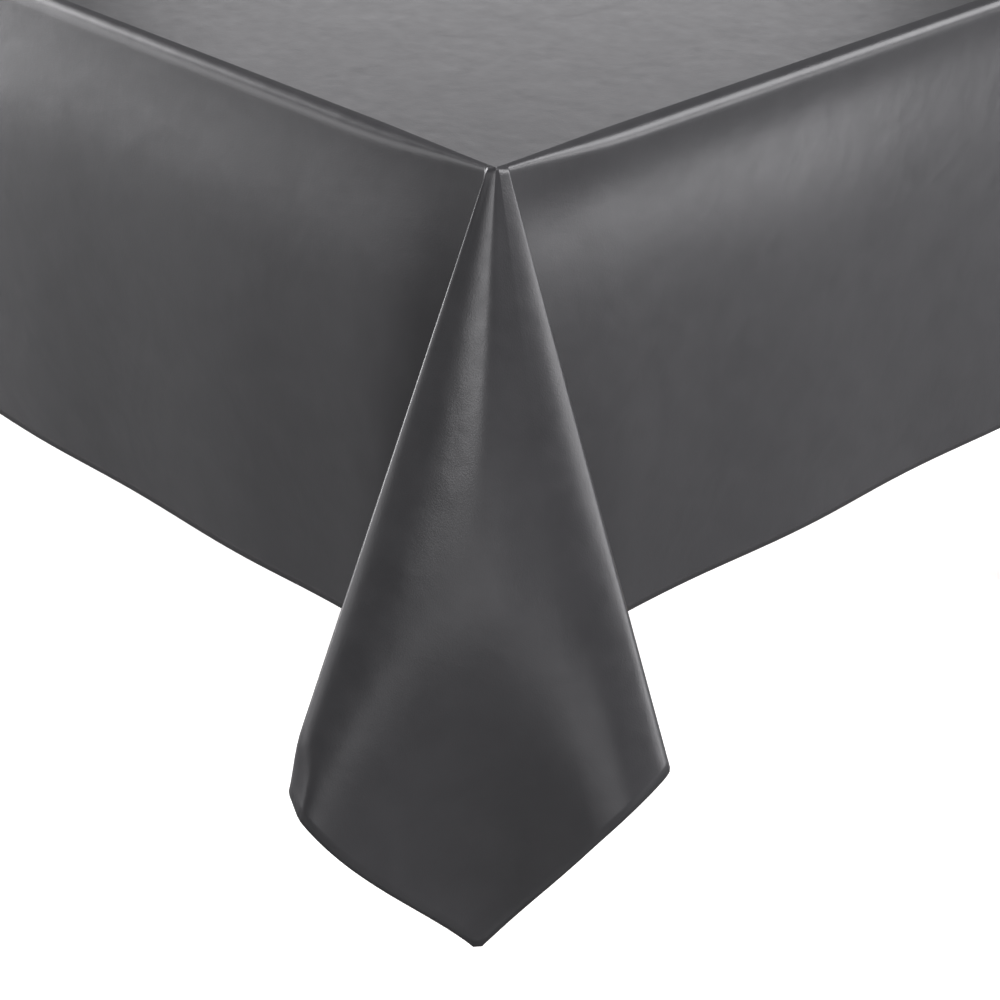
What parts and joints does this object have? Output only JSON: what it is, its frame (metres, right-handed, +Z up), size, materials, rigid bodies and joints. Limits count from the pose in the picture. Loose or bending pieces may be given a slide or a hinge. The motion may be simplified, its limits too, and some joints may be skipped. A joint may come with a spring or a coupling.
{
  "type": "tablecloth on a table",
  "caption": "Dark grey satin vinyl tablecloth hanging over a rectangular leg-and-apron table, with an open flute at each corner.",
  "frame": {"origin": "on the floor under the middle of the table", "axes": "+Z up, +X along the long side, +Y along the short side; front_right is +X and -Y"},
  "size_m": [1.83, 1.4104, 0.7216],
  "materials": {
    "vinyl": "satin, finely embossed",
    "flannel": "brushed flannel backing",
    "laminate": "satin lacquer",
    "beech": "satin lacquer",
    "zinc_steel": "zinc plated",
    "nylon": "matt moulded"
  },
  "bodies": {
    "table": {"apron_back": "beech", "apron_front": "beech", "apron_left": "beech", "apron_right": "beech", "clip_screw_1": "zinc_steel", "clip_screw_2": "zinc_steel", "clip_screw_3": "zinc_steel", "clip_screw_4": "zinc_steel", "clip_screw_5": "zinc_steel", "clip_screw_6": "zinc_steel", "clip_screw_7": "zinc_steel", "clip_screw_8": "zinc_steel", "corner_brace_back_left": "beech", "corner_brace_back_right": "beech", "corner_brace_front_left": "beech", "corner_brace_front_right": "beech", "cross_rail": "beech", "foot_glide_back_left": "nylon", "foot_glide_back_right": "nylon", "foot_glide_front_left": "nylon", "foot_glide_front_right": "nylon", "hanger_bolt_back_left": "zinc_steel", "hanger_bolt_back_right": "zinc_steel", "hanger_bolt_front_left": "zinc_steel", "hanger_bolt_front_right": "zinc_steel", "leg_back_left": "beech", "leg_back_right": "beech", "leg_front_left": "beech", "leg_front_right": "beech", "nut_back_left": "zinc_steel", "nut_back_right": "zinc_steel", "nut_front_left": "zinc_steel", "nut_front_right": "zinc_steel", "table_top": "laminate", "top_clip_1": "zinc_steel", "top_clip_2": "zinc_steel", "top_clip_3": "zinc_steel", "top_clip_4": "zinc_steel", "top_clip_5": "zinc_steel", "top_clip_6": "zinc_steel", "top_clip_7": "zinc_steel", "top_clip_8": "zinc_steel", "washer_back_left": "zinc_steel", "washer_back_right": "zinc_steel", "washer_front_left": "zinc_steel", "washer_front_right": "zinc_steel"},
    "cloth": {"tablecloth": "vinyl"}
  },
  "joints": [
    {"name": "cloth_lift", "type": "slide", "parent": "table", "child": "cloth", "axis": [0, 0, 1], "range_m": [0, 0.6]}
  ]
}
